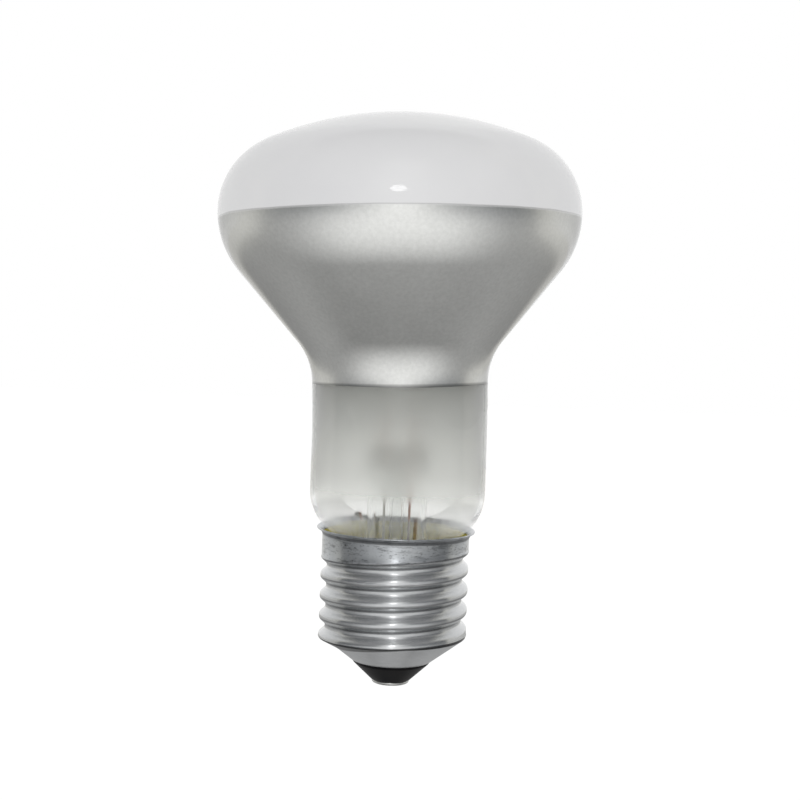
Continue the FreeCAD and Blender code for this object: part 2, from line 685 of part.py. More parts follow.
def capping_cement():
    """The cement ring between the shell's skirt and the foot of the neck."""
    outer_r = SKIRT_R - SHEET_T
    ring = turned_polygon([
        (seal_r - SEAL_T / 2, CEMENT_INNER_LOW_Z),
        (outer_r, CEMENT_LOW_Z),
        (outer_r, rim_turn_z),
        (seal_r, RIM_Z - CEMENT_BELOW_RIM),
        (seal_r - SEAL_T / 2, RIM_Z - CEMENT_BELOW_RIM),
    ])
    middle = [line(at(seal_r, seal_z), at(0, seal_z)), line(at(0, seal_z), at(0, bend_low_z))]
    neck = turned(foot_outline(0, seal_r) + middle)
    return ring.cut([neck, outer_lead_side()]).Solids[0]


def side_solder():
    """The rounded dab that joins the end of the side lead to the rim."""
    low, high = rim_end.z - SIDE_JOINT_H / 2, rim_end.z + SIDE_JOINT_H / 2
    face_r = SIDE_JOINT_R - SIDE_JOINT_EDGE_R
    dab = turned([
        line(at(0, low), at(face_r, low)),
        arc(at(face_r, low + SIDE_JOINT_EDGE_R), SIDE_JOINT_EDGE_R, -90, 0),
        arc(at(face_r, high - SIDE_JOINT_EDGE_R), SIDE_JOINT_EDGE_R, 0, 90),
        line(at(face_r, high), at(0, high)),
    ])
    dab.Placement = Placement(spun(at(rim_r + LEAD_R, 0), SIDE_LEAD_DEG), Rotation())
    rim = skirt_and_rim(0).cut(skirt_and_rim(SHEET_T))
    return dab.cut([rim, outer_lead_side()]).Solids[0]


def build():
    """Every node of the part by name."""
    nodes = {
        "glass_envelope": glass_envelope(),
        "mirror_coating": mirror_coating(),
        "white_coating": white_coating(),
        "stem_flare": stem(),
        "exhaust_tube": exhaust_tube(),
        "support_rod": support_rod(),
        "filament": filament(),
        "seal_wire_left": seal_wire(-1),
        "seal_wire_right": seal_wire(1),
        "inner_lead_left": inner_lead(-1),
        "inner_lead_right": inner_lead(1),
        "outer_lead_side": outer_lead_side(),
        "outer_lead_upper": outer_lead_upper(),
        "outer_lead_contact": outer_lead_contact(),
        "fuse_sleeve": fuse_sleeve(),
        "fuse_wire": fuse_wire(),
        "cap_shell": cap_shell(),
        "cap_insulator": cap_insulator(),
        "contact_plate": contact_plate(),
        "contact_solder": contact_solder(),
        "side_solder": side_solder(),
        "capping_cement": capping_cement(),
    }
    for side, number in SUPPORTS.items():
        nodes[f"support_wire_{side}"] = support_wire(number)
    return nodes


os.makedirs("parts", exist_ok=True)
for name, shape in build().items():
    print(name, "solids", len(shape.Solids), "valid", shape.isValid(), "mm3", round(shape.Volume, 3))
    shape.exportStep(f"parts/{name}.step")
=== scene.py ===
"""Looks of the reflector bulb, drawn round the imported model.

Sizes are in millimetres until a mesh is made. The floor and the light are in metres.
"""
import math

import bpy
from mathutils import Matrix, Vector, noise


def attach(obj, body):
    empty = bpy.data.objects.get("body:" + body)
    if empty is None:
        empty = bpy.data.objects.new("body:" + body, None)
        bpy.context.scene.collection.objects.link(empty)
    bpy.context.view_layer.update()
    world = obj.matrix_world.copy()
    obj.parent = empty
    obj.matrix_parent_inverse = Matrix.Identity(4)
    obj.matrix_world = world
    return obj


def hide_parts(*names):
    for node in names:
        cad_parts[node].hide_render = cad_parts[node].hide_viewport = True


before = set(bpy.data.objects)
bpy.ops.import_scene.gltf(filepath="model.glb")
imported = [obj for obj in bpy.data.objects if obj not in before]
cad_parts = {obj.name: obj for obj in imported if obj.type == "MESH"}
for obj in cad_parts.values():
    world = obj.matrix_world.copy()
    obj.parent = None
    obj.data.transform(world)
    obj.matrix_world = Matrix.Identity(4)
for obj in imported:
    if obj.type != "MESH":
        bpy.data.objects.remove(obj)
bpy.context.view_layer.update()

MM = 0.001
TINY = 1e-6

# Outline of the glass, as in the CAD model: heights on the straightened lamp, before the neck is bent
LAMP_LENGTH = 100.44
BULB_R = 31.75
DOME_R = 59.5
SHOULDER_R = 13.4
BOWL_R = 16.0
BOWL_SLOPE = math.radians(39.6)
THROAT_R = 11.4
NECK_R = 15.5
GLASS_T = 0.7
FOOT_TOP_Z = 34.473
FOOT_TURN_R = 9.0
FOOT_SLOPE = math.radians(50)
SEAL_R = 11.0
SEAL_T = 1.0
SEAL_Z = 20.6

dome_drop = math.sqrt((DOME_R - SHOULDER_R) ** 2 - (BULB_R - SHOULDER_R) ** 2)
ring_z = LAMP_LENGTH - (DOME_R - dome_drop)
shoulder_turn = math.atan2(dome_drop, BULB_R - SHOULDER_R)
bowl_end_r = BULB_R - BOWL_R + BOWL_R * math.cos(BOWL_SLOPE)
bowl_end_z = ring_z - BOWL_R * math.sin(BOWL_SLOPE)
throat_start_r = NECK_R + THROAT_R * (1 - math.cos(BOWL_SLOPE))
throat_start_z = bowl_end_z - (bowl_end_r - throat_start_r) / math.tan(BOWL_SLOPE)
throat_z = throat_start_z - THROAT_R * math.sin(BOWL_SLOPE)

COAT_EDGE_Z = ring_z - 1.0       # the white coat ends and the mirror starts
MIRROR_EDGE_Z = throat_z - 0.2   # the mirror ends and the frosted neck starts
FROST_EDGE_Z = 34.2              # the frosting fades out
CLEAR_TOP_Z = 32.0               # below this the foot starts to let light straight through
CLEAR_LOW_Z = 28.5               # and here it lets most of it through
GLASS_SEGMENTS = 200

# The bend of the neck
LEAN = math.radians(2.2)
BEND_LOW_Z = FOOT_TOP_Z + 6.0
bend_length = throat_z - 2.0 - BEND_LOW_Z
bend_r = bend_length / LEAN

# Screw cap
PITCH = 3.629
MAJOR_R = 13.18
MINOR_R = 12.05
THREAD_FLAT = 0.84               # on each crest and in each root
CORNER = 0.30                    # how much the corners of the sheet are rounded
FRONT_TURN = 0.75                # the front, as a share of a turn from +X
TOP_CREST_Z = 20.15              # the highest whole crest, at the front
LAST_EDGE_Z = 8.75               # the lower edge of the lowest crest
SKIRT_R = 13.02
SKIRT_LOW_Z = 23.15
SKIRT_LIMIT_Z = 20.0             # above this nothing stands out from the skirt
SHEET_T = 0.3
RIM_Z = 27.6
RIM_R = 13.9
RIM_TURN_R = 1.3
RIM_FOOT_Z = 24.9
NOSE_R = 7.2
NOSE_Z = 4.45
NOSE_RISE = 1 / math.tan(math.radians(52.6))
UNDERSIDE_RISE = 1 / math.tan(math.radians(62))
UNDERSIDE_LEAST_R = 9.6
CAP_SEGMENTS = 288
THREAD_ROWS = 112

# Painted shade under each crest as (distance below it, half its width, strength): a thin line and a wider one
CREST_PAINTED_SHADE = [(0.30, 0.16, 0.30), (1.25, 0.34, 0.38)]
# Strength of the painted shade in the flare just under the rim's bead
RIM_PAINTED_SHADE = 0.3

# Insulator and contact
INSULATOR_R = 9.8
PLATE_TOP_Z = 0.8
SHANK_R = 1.3
SHANK_BORE_R = 0.65
SHANK_TOP_Z = 5.4

# Cement: the corners of its section and the steps between them
CEMENT_CORNERS = [(10.5, 22.6), (11.6, 24.2), (12.68, 25.0), (12.78, 27.0), (11.85, 27.15), (11.04, 26.47),
                  (11.02, 24.5), (10.5, 22.8)]
CEMENT_STEPS = [3, 3, 6, 6, 5, 4, 3]
CEMENT_FACE_Z = 26.9
CEMENT_LUMP = 0.7

# Stem and exhaust tube
STEM_R = 5.3
STEM_T = 0.8
STEM_IN_R = 4.5
FLARE_Z = 29.0
FLARE_LOW_Z = 21.35
PINCH_FOOT = 38.0
PINCH_FLAT = 42.5
PINCH_HALF_W = 4.7
PINCH_HALF_D = 1.7
PINCH_POWER = 3.2                # 2 is an ellipse, and more is squarer
PINCH_TOP = [(43, 0), (45, 0), (46.0, 0.05), (46.3, 0.2), (46.48, 0.5)]   # height and how far it shrinks
CAVITY_TOP = 41.4
CAVITY_HALF_W = 3.0
CAVITY_HALF_D = 0.7
CAVITY_POWER = 3.0
PUMP_R = 1.3
PUMP_IN_R = 0.85

# Optics
GLASS_IOR = 1.5
BULB_COAT_IOR = 1.38
OUTER_FOOT_ALPHA = 0.28
INNER_FOOT_ALPHA = 0.12

# Floor and light, in metres
FLOOR_HALF = 2.0
FLOOR_Z = -0.06
FLOOR_WHITE = (0.9, 0.9, 0.9)
FLOOR_SOFT = (0.65, 0.65, 0.65)
KEY_PLACE = (-0.018, -0.715, 0.305)
KEY_TARGET = (0, 0, 0.085)
KEY_SIZE = (0.125, 0.115)
KEY_WATTS = 0.28

# Camera, placed by the straightened lamp: millimetres, and the pitch in radians
CAMERA_DISTANCE = 246.36
CAMERA_HEIGHT = 63.65
CAMERA_PITCH = 0.053
CAMERA_LENS = 62.86
CAMERA_SENSOR = 36


# Shapes

def bent(x, y, h):
    """A point of the straightened lamp, in metres where the bent neck carries it."""
    turn = min(max((h - BEND_LOW_Z) / bend_length, 0.0), 1.0) * LEAN
    up = h - BEND_LOW_Z
    if up > 0:
        up = h - min(up, bend_length) - BEND_LOW_Z
    across = x + bend_r
    return Vector((
        across * math.cos(turn) - up * math.sin(turn) - bend_r,
        y,
        across * math.sin(turn) + up * math.cos(turn) + BEND_LOW_Z,
    )) * MM


def straight_up(x, y, h):
    """A point of the cap, which stands on the axis."""
    return Vector((x, y, h)) * MM


def on_arc(cx, cz, radius, angle):
    """A point of a circle, its angle in radians from +r towards +z."""
    return cx + radius * math.cos(angle), cz + radius * math.sin(angle)


def arc(cx, cz, radius, start, end, steps):
    """Points of an arc, without the first."""
    return [on_arc(cx, cz, radius, start + (end - start) * k / steps) for k in range(1, steps + 1)]


def run(start, end, steps):
    """Points of a straight stretch, without the first."""
    return [tuple(a + (b - a) * k / steps for a, b in zip(start, end)) for k in range(1, steps + 1)]


def step(t):
    """From 0 to 1 with a soft start and end."""
    t = min(max(t, 0.0), 1.0)
    return t * t * (3 - 2 * t)


def soft_max(a, b, width):
    """The larger of two numbers, rounded where they are less than width apart."""
    h = max(width - abs(a - b), 0.0) / width
    return max(a, b) + h * h * width / 4


def finish_mesh(name, verts, faces, slots, values=None):
    """A smooth mesh object from vertices in metres; values gives named numbers per vertex."""
    mesh = bpy.data.meshes.new(name)
    mesh.from_pydata(verts, [], faces)
    mesh.validate()
    mesh.polygons.foreach_set("use_smooth", [True] * len(mesh.polygons))
    for key, numbers in (values or {}).items():
        layer = mesh.attributes.new(key, "FLOAT", "POINT")
        layer.data.foreach_set("value", numbers)
    obj = bpy.data.objects.new(name, mesh)
    bpy.context.scene.collection.objects.link(obj)
    for material in slots:
        mesh.materials.append(material)
    return obj


def face_outwards(obj):
    """Turns a closed mesh right side out."""
    volume = 0.0
    verts = obj.data.vertices
    for face in obj.data.polygons:
        a, b, c = (verts[i].co for i in face.vertices[:3])
        volume += a.dot(b.cross(c))
        if len(face.vertices) == 4:
            d = verts[face.vertices[3]].co
            volume += a.dot(c.cross(d))
    if volume < 0:
        obj.data.flip_normals()


def revolve(name, outline, segments, slots, place=straight_up, zone=None, closed=True, ripple=None):
    """A surface of revolution from (radius, height) points, with that height kept on each vertex.

    zone gives the material number of a face from its row; ripple moves a vertex up by its height and angle.
    """
    verts, heights, rows = [], [], []
    for r, h in outline:
        if r < TINY:
            rows.append([len(verts)])
            verts.append(place(0, 0, h))
            heights.append(h)
            continue
        row = []
        for k in range(segments):
            a = 2 * math.pi * k / segments
            lift = ripple(h, a) if ripple else 0.0
            row.append(len(verts))
            verts.append(place(r * math.cos(a), r * math.sin(a), h + lift))
            heights.append(h + lift)
        rows.append(row)
    pairs = list(zip(rows, rows[1:]))
    if closed:
        pairs.append((rows[-1], rows[0]))
    faces, numbers = [], []
    for index, (one, two) in enumerate(pairs):
        if len(one) == 1 and len(two) == 1:
            continue
        for k in range(segments):
            n = (k + 1) % segments
            if len(one) == 1:
                face = (one[0], two[k], two[n])
            elif len(two) == 1:
                face = (one[n], one[k], two[0])
            else:
                face = (one[n], one[k], two[k], two[n])
            faces.append(face)
            numbers.append(zone(index) if zone else 0)
    obj = finish_mesh(name, verts, faces, slots, {"height": heights})
    obj.data.polygons.foreach_set("material_index", numbers)
    face_outwards(obj)
    return obj


def lathe_loft(name, outer_rows, inner_rows, slots, segments=96):
    """A skin closed over the top of the outer rows and over the top of the inner rows, joined at the foot.

    A row is (half width, half depth, height, power of its rounded outline).
    """
    verts, faces, rings = [], [], []
    for wide, deep, h, power in outer_rows[::-1] + inner_rows:
        row = []
        for k in range(segments):
            a = 2 * math.pi * k / segments
            c, s = math.cos(a), math.sin(a)
            x = wide * math.copysign(abs(c) ** (2 / power), c)
            y = deep * math.copysign(abs(s) ** (2 / power), s)
            row.append(len(verts))
            verts.append(Vector((x, y, h)) * MM)
        rings.append(row)
    for one, two in zip(rings, rings[1:]):
        for k in range(segments):
            n = (k + 1) % segments
            faces.append((one[k], one[n], two[n], two[k]))
    for ends in (rings[0], rings[-1]):
        centre = len(verts)
        verts.append(sum((verts[i] for i in ends), Vector()) / segments)
        for k in range(segments):
            n = (k + 1) % segments
            faces.append((ends[k], centre, ends[n]) if ends is rings[0] else (ends[k], ends[n], centre))
    obj = finish_mesh(name, verts, faces, slots)
    face_outwards(obj)
    return obj


# Shader nodes

def new_material(name):
    material = bpy.data.materials.new(name)
    material.use_nodes = True
    tree = material.node_tree
    return material, tree, tree.nodes["Principled BSDF"]


def put(target, value):
    target.default_value = value


def texture(tree, scale, detail=3.0, rough=0.55, stretch=(1, 1, 1)):
    """Noise in object coordinates, its scale in turns per millimetre."""
    where = tree.nodes.new("ShaderNodeTexCoord")
    spread = tree.nodes.new("ShaderNodeMapping")
    put(spread.inputs["Scale"], tuple(s * scale / MM for s in stretch))
    tree.links.new(where.outputs["Object"], spread.inputs["Vector"])
    made = tree.nodes.new("ShaderNodeTexNoise")
    put(made.inputs["Scale"], 1.0)
    put(made.inputs["Detail"], detail)
    put(made.inputs["Roughness"], rough)
    tree.links.new(spread.outputs["Vector"], made.inputs["Vector"])
    return made.outputs["Fac"]


def ramp(tree, source, stops, low=0.0, high=1.0):
    """Colours or greys over a value; stops are (value, colour) with values between low and high.

    The renderer cuts the range from low to high into 256 steps, so no edge is sharper than one of them.
    """
    spread = tree.nodes.new("ShaderNodeMapRange")
    put(spread.inputs["From Min"], low)
    put(spread.inputs["From Max"], high)
    tree.links.new(source, spread.inputs["Value"])
    made = tree.nodes.new("ShaderNodeValToRGB")
    tree.links.new(spread.outputs["Result"], made.inputs["Fac"])
    elements = made.color_ramp.elements
    while len(elements) > 1:
        elements.remove(elements[0])
    for number, (value, colour) in enumerate(stops):
        place = min(max((value - low) / (high - low), 0.0), 1.0)
        element = elements[0] if number == 0 else elements.new(place)
        element.position = place
        element.color = (*colour, 1) if isinstance(colour, tuple) else (colour, colour, colour, 1)
    return made.outputs["Color"]


def math_node(tree, operation, first, second):
    """One operation on two values, each a number or a socket."""
    made = tree.nodes.new("ShaderNodeMath")
    made.operation = operation
    for socket, value in zip(made.inputs, (first, second)):
        if isinstance(value, (int, float)):
            put(socket, value)
        else:
            tree.links.new(value, socket)
    return made.outputs[0]


def mix(tree, factor, first, second, way="MIX"):
    """A blend of two colours, each a grey, a colour or a socket."""
    made = tree.nodes.new("ShaderNodeMix")
    made.data_type = "RGBA"
    made.blend_type = way
    made.clamp_factor = True
    for socket, value in ((made.inputs[0], factor), (made.inputs[6], first), (made.inputs[7], second)):
        if isinstance(value, (int, float)):
            put(socket, value)
        elif isinstance(value, tuple):
            put(socket, (*value, 1))
        else:
            tree.links.new(value, socket)
    return made.outputs[2]


def times(tree, first, second):
    """Two colours multiplied."""
    return mix(tree, 1.0, first, second, "MULTIPLY")


def bump(tree, shader, source, strength, distance):
    made = tree.nodes.new("ShaderNodeBump")
    put(made.inputs["Strength"], strength)
    put(made.inputs["Distance"], distance * MM)
    tree.links.new(source, made.inputs["Height"])
    tree.links.new(made.outputs["Normal"], shader.inputs["Normal"])


def attribute(tree, name):
    """A number kept on the vertices of the mesh."""
    made = tree.nodes.new("ShaderNodeAttribute")
    made.attribute_name = name
    return made.outputs["Fac"]


def wavy_height(tree, scale, detail, reach):
    """The height on the lamp, moved up and down by noise over the given reach."""
    wave = math_node(tree, "MULTIPLY", texture(tree, scale, detail), reach)
    return math_node(tree, "ADD", attribute(tree, "height"), math_node(tree, "SUBTRACT", wave, reach / 2))


# Materials

def clear_foot(tree, shader, least):
    """The foot of the neck is so clear that light goes straight on through most of it."""
    stops = [(CLEAR_LOW_Z, least), (CLEAR_LOW_Z + 1.0, least + 0.15), (CLEAR_TOP_Z, 1.0)]
    tree.links.new(ramp(tree, attribute(tree, "height"), stops, 20, 60), shader.inputs["Alpha"])


def coated_glass():
    """The part of the glass that is coated inside: white dome, satin silvered bowl and the line between."""
    material, tree, shader = new_material("coated_glass")
    level = wavy_height(tree, 0.08, 2.0, 0.5)
    white = ramp(tree, level, [(COAT_EDGE_Z - 0.10, 0.0), (COAT_EDGE_Z + 0.10, 1.0)], 0, 110)
    cloud = texture(tree, 0.05, 4.0)
    white_colour = ramp(tree, cloud, [(0.35, (0.79, 0.79, 0.80)), (0.65, (0.82, 0.82, 0.825))])
    grain = texture(tree, 1.6, 3.0)
    patch = texture(tree, 0.07, 4.0)
    silver = ramp(tree, grain, [(0.3, (0.76, 0.765, 0.745)), (0.7, (0.84, 0.845, 0.825))])
    duller = ramp(tree, patch, [(0.35, (0.90, 0.90, 0.89)), (0.65, 1.0)])
    silver = mix(tree, 0.35, silver, duller, "MULTIPLY")
    edge = ramp(tree, attribute(tree, "height"), [
        (52, 0.25), (MIRROR_EDGE_Z, 0.3), (MIRROR_EDGE_Z + 0.35, 0.62), (MIRROR_EDGE_Z + 0.6, 1.0)], 52, 60)
    colour = mix(tree, white, times(tree, silver, edge), white_colour)
    seam = ramp(tree, level, [
        (COAT_EDGE_Z - 0.02, 1.0), (COAT_EDGE_Z + 0.1, 0.72), (COAT_EDGE_Z + 0.25, 1.0)], 70, 110)
    tree.links.new(times(tree, colour, seam), shader.inputs["Base Color"])
    metallic = math_node(tree, "SUBTRACT", 1.0, white)
    tree.links.new(metallic, shader.inputs["Metallic"])
    tint = mix(tree, white, (0.22, 0.22, 0.22), (1.0, 1.0, 1.0))
    tree.links.new(tint, shader.inputs["Specular Tint"])
    satin = ramp(tree, patch, [(0.3, 0.34), (0.7, 0.40)])
    tree.links.new(mix(tree, white, satin, (0.55, 0.55, 0.55)), shader.inputs["Roughness"])
    put(shader.inputs["Coat Weight"], 1.0)
    put(shader.inputs["Coat Roughness"], 0.035)
    put(shader.inputs["Coat IOR"], BULB_COAT_IOR)
    bump(tree, shader, math_node(tree, "MULTIPLY", grain, metallic), 0.12, 0.05)
    return material


def plain_glass(name, tint=(0.985, 0.99, 0.985)):
    """Clear glass with faint streaks."""
    material, tree, shader = new_material(name)
    streak = texture(tree, 0.12, 2.0, stretch=(1, 1, 0.3))
    colour = ramp(tree, streak, [(0.3, tuple(0.99 * c for c in tint)), (0.7, tint)])
    tree.links.new(colour, shader.inputs["Base Color"])
    put(shader.inputs["Transmission Weight"], 1.0)
    put(shader.inputs["IOR"], GLASS_IOR)
    put(shader.inputs["Roughness"], 0.0)
    bump(tree, shader, streak, 0.08, 0.2)
    return material


def neck_glass():
    """The clear outside of the neck."""
    material = plain_glass("clear_glass")
    tree = material.node_tree
    clear_foot(tree, tree.nodes["Principled BSDF"], OUTER_FOOT_ALPHA)
    return material


def frosted_glass():
    """The inside of the neck: etched down to the clear foot, where the frosting fades."""
    material, tree, shader = new_material("frosted_glass")
    level = wavy_height(tree, 0.15, 3.0, 1.6)
    rough = ramp(tree, level, [
        (FROST_EDGE_Z - 1.2, 0.0), (FROST_EDGE_Z + 0.7, 0.26), (FROST_EDGE_Z + 4, 0.5), (60, 0.56)], 28, 60)
    tree.links.new(rough, shader.inputs["Roughness"])
    # Tint of the inside of the neck: the darkening from about 41 mm up to the mirror is painted shade under the
    # silvered bowl
    shade = ramp(tree, level, [
        (28, (0.97, 0.975, 0.96)), (29.5, (0.90, 0.905, 0.88)), (31, (0.70, 0.705, 0.68)),
        (FROST_EDGE_Z - 1.6, (0.66, 0.665, 0.64)), (FROST_EDGE_Z + 1.5, (0.74, 0.745, 0.71)),
        (41, (0.69, 0.695, 0.66)), (44, (0.61, 0.615, 0.58)), (47, (0.50, 0.505, 0.48)),
        (51, (0.41, 0.415, 0.39)), (54, (0.37, 0.375, 0.35)), (60, (0.36, 0.365, 0.35))], 28, 60)
    tree.links.new(shade, shader.inputs["Base Color"])
    put(shader.inputs["Transmission Weight"], 1.0)
    put(shader.inputs["IOR"], GLASS_IOR)
    clear_foot(tree, shader, INNER_FOOT_ALPHA)
    bump(tree, shader, texture(tree, 2.2, 3.0), 0.05, 0.03)
    return material


def metal(name, colour, roughness, grain_scale=1.2, spread=0.06, bumpy=0.1):
    """A plain metal with a little variation of colour and roughness."""
    material, tree, shader = new_material(name)
    grain = texture(tree, grain_scale, 4.0)
    low = tuple(c * (1 - spread) for c in colour)
    high = tuple(min(c * (1 + spread), 1) for c in colour)
    tree.links.new(ramp(tree, grain, [(0.3, low), (0.7, high)]), shader.inputs["Base Color"])
    rough = ramp(tree, grain, [(0.3, roughness * 0.85), (0.7, min(roughness * 1.15, 1))])
    tree.links.new(rough, shader.inputs["Roughness"])
    put(shader.inputs["Metallic"], 1.0)
    bump(tree, shader, grain, bumpy, 0.03)
    return material


def cap_metal():
    """Rolled aluminium sheet: dull and scuffed on the skirt, brighter on the thread, with painted shade under its
    crests, under the last crest and under the rim.
    """
    material, tree, shader = new_material("cap_aluminium")
    above = attribute(tree, "skirt")
    skirt = ramp(tree, above, [(-0.25, 0.0), (0.05, 1.0)], -1, 5)
    brushed = texture(tree, 0.9, 5.0, 0.65, stretch=(1, 1, 4.0))
    blotch = texture(tree, 0.22, 4.0, 0.6)
    speck = texture(tree, 1.5, 6.0, 0.75, stretch=(1, 1, 2.2))
    scrape = texture(tree, 0.30, 6.0, 0.7, stretch=(1, 1, 5.0))
    bright = ramp(tree, brushed, [(0.25, (0.58, 0.592, 0.602)), (0.75, (0.67, 0.68, 0.685))])
    dull = ramp(tree, blotch, [
        (0.3, (0.47, 0.49, 0.51)), (0.55, (0.56, 0.58, 0.595)), (0.75, (0.66, 0.67, 0.68))])
    specks = ramp(tree, speck, [(0.0, 0.12), (0.36, 0.16), (0.43, 1.0)])
    dull = mix(tree, 0.9, dull, specks, "MULTIPLY")
    scrapes = ramp(tree, scrape, [(0.0, 0.25), (0.38, 0.35), (0.47, 1.0)])
    dull = mix(tree, 0.65, dull, scrapes, "MULTIPLY")
    colour = mix(tree, skirt, bright, dull)
    # Painted shade from the vertices, in the creases under the crests, under the last crest and under the rim,
    # mottled by the specks
    crease_shade = math_node(tree, "MULTIPLY", attribute(tree, "dark"), math_node(tree, "ADD", 0.55, speck))
    crease_shade_tone = ramp(tree, crease_shade, [(0.0, 1.0), (0.12, 0.72), (0.3, 0.45), (0.6, 0.28), (1.2, 0.10)], 0.0, 1.2)
    colour = times(tree, colour, crease_shade_tone)
    ragged = math_node(tree, "ADD", above, math_node(tree, "MULTIPLY", speck, 0.3))
    edge = ramp(tree, ragged, [(-0.1, 1.0), (0.05, 0.35), (0.2, 0.45), (0.35, 1.0)], -0.6, 1.0)
    tree.links.new(times(tree, colour, edge), shader.inputs["Base Color"])
    rough_bright = ramp(tree, blotch, [(0.3, 0.22), (0.7, 0.27)])
    rough_dull = ramp(tree, blotch, [(0.3, 0.28), (0.7, 0.38)])
    tree.links.new(mix(tree, skirt, rough_bright, rough_dull), shader.inputs["Roughness"])
    put(shader.inputs["Metallic"], 1.0)
    put(shader.inputs["Anisotropic"], 0.9)
    put(shader.inputs["Anisotropic Rotation"], 0.25)
    around = tree.nodes.new("ShaderNodeTangent")
    around.direction_type = "RADIAL"
    around.axis = "Z"
    tree.links.new(around.outputs["Tangent"], shader.inputs["Tangent"])
    bump(tree, shader, math_node(tree, "ADD", brushed, blotch), 0.03, 0.03)
    return material


def cement_material():
    material, tree, shader = new_material("cement")
    lump = texture(tree, 0.7, 5.0, 0.6)
    colour = ramp(tree, lump, [(0.3, (0.55, 0.47, 0.05)), (0.5, (0.78, 0.68, 0.12)), (0.7, (0.92, 0.84, 0.30))])
    tree.links.new(colour, shader.inputs["Base Color"])
    put(shader.inputs["Roughness"], 0.85)
    bump(tree, shader, lump, 0.5, 0.3)
    return material


def black_glass():
    material, tree, shader = new_material("black_glass")
    lump = texture(tree, 0.4, 3.0)
    colour = ramp(tree, lump, [(0.3, (0.004, 0.004, 0.005)), (0.7, (0.009, 0.008, 0.008))])
    tree.links.new(colour, shader.inputs["Base Color"])
    tree.links.new(ramp(tree, lump, [(0.3, 0.28), (0.7, 0.38)]), shader.inputs["Roughness"])
    put(shader.inputs["Specular IOR Level"], 0.06)
    bump(tree, shader, lump, 0.12, 0.2)
    return material


def white_powder():
    """The film inside the dome, hardly seen through its coated glass."""
    material, tree, shader = new_material("white_film")
    cloud = texture(tree, 0.3, 4.0)
    tree.links.new(ramp(tree, cloud, [(0.3, 0.80), (0.7, 0.86)]), shader.inputs["Base Color"])
    put(shader.inputs["Roughness"], 0.8)
    return material


coated = coated_glass()
clear = neck_glass()
frosted = frosted_glass()
stem_clear = plain_glass("stem_glass", (0.97, 0.975, 0.97))
mirror_inside = metal("mirror_film", (0.82, 0.82, 0.80), 0.3)
nickel = metal("nickel_wire", (0.50, 0.48, 0.45), 0.3)
copper = metal("copper_wire", (0.45, 0.20, 0.12), 0.4)
tungsten = metal("tungsten", (0.30, 0.30, 0.31), 0.4)
solder = metal("solder", (0.62, 0.62, 0.60), 0.35, 0.8, 0.1, 0.3)
contact_metal = metal("contact_metal", (0.70, 0.70, 0.68), 0.3)
aluminium = cap_metal()
cement = cement_material()
black = black_glass()


# The glass envelope

def glass_side(inset):
    """The outline from the top of the dome down to the end of the neck, inset from the outside."""
    throat = (NECK_R + THROAT_R, throat_z, THROAT_R + inset)
    neck = NECK_R - inset
    points = [(0.0, LAMP_LENGTH - inset)]
    points += arc(0, ring_z - dome_drop, DOME_R - inset, math.pi / 2, shoulder_turn, 34)
    points += arc(BULB_R - SHOULDER_R, ring_z, SHOULDER_R - inset, shoulder_turn, 0, 40)
    points += arc(BULB_R - BOWL_R, ring_z, BOWL_R - inset, 0, -BOWL_SLOPE, 26)
    points += run(points[-1], on_arc(*throat, math.pi - BOWL_SLOPE), 12)
    points += arc(*throat, math.pi - BOWL_SLOPE, math.pi, 24)
    points += [(neck, MIRROR_EDGE_Z)]
    points += run((neck, MIRROR_EDGE_Z), (neck, FOOT_TOP_Z), 22)
    points += arc(NECK_R - FOOT_TURN_R, FOOT_TOP_Z, FOOT_TURN_R - inset, 0, -FOOT_SLOPE, 22)
    end_r = SEAL_R if inset == 0 else SEAL_R - SEAL_T
    turn_r, turn_z = points[-1]
    slope_end = (end_r, turn_z - (turn_r - end_r) / math.tan(FOOT_SLOPE))
    points += run(points[-1], slope_end, 4)
    points += run(slope_end, (end_r, SEAL_Z), 4)
    return points


def mirror_row(side):
    """The point of an outline that lies on the edge of the mirror."""
    return next(i for i, point in enumerate(side) if abs(point[1] - MIRROR_EDGE_Z) < TINY)


def edge_wave(h, angle):
    """The mirror's lower edge isn't quite level."""
    if abs(h - MIRROR_EDGE_Z) > TINY:
        return 0.0
    return 0.09 * math.sin(2 * angle + 1.0) + 0.05 * math.sin(5 * angle)


glass_outer = glass_side(0.0)
glass_inner = glass_side(GLASS_T)
glass_outline = glass_outer + glass_inner[::-1]
outer_edge = mirror_row(glass_outer)
inner_edge = len(glass_outline) - 1 - mirror_row(glass_inner)


def glass_zone(index):
    """0 coated, 1 clear outside of the neck, 2 frosted inside of it."""
    if index < outer_edge or index >= inner_edge:
        return 0
    return 1 if index < len(glass_outer) else 2


envelope = revolve("bulb_glass", glass_outline, GLASS_SEGMENTS, [coated, clear, frosted], place=bent,
                   zone=glass_zone, closed=False, ripple=edge_wave)
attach(envelope, "root")
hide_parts("glass_envelope")


# The screw cap

flank_slope = (MAJOR_R - MINOR_R) / (PITCH / 2 - THREAD_FLAT)


def above_crest(z, a):
    """How far above the nearest crest a height lies, at an angle from +X; below it is negative."""
    up = z - TOP_CREST_Z - PITCH * (a / (2 * math.pi) - FRONT_TURN)
    return (up + PITCH / 2) % PITCH - PITCH / 2


def thread_r(away):
    """Radius of the rolled thread at a distance along the axis from a crest, its corners rounded."""
    flank = MAJOR_R - (away - THREAD_FLAT / 2) * flank_slope
    return -soft_max(-MAJOR_R, -soft_max(MINOR_R, flank, CORNER), CORNER)


def last_edge_z(a):
    """Lower edge of the last crest: like the thread, it is lower on the left than on the right."""
    return LAST_EDGE_Z + 0.5 * math.cos(a) - 0.15 * math.sin(a)


def skirt_edge_z(a):
    """Lower edge of the plain skirt, where the thread runs out."""
    return SKIRT_LOW_Z + 0.95 * math.cos(a) - 0.35 * math.sin(a)


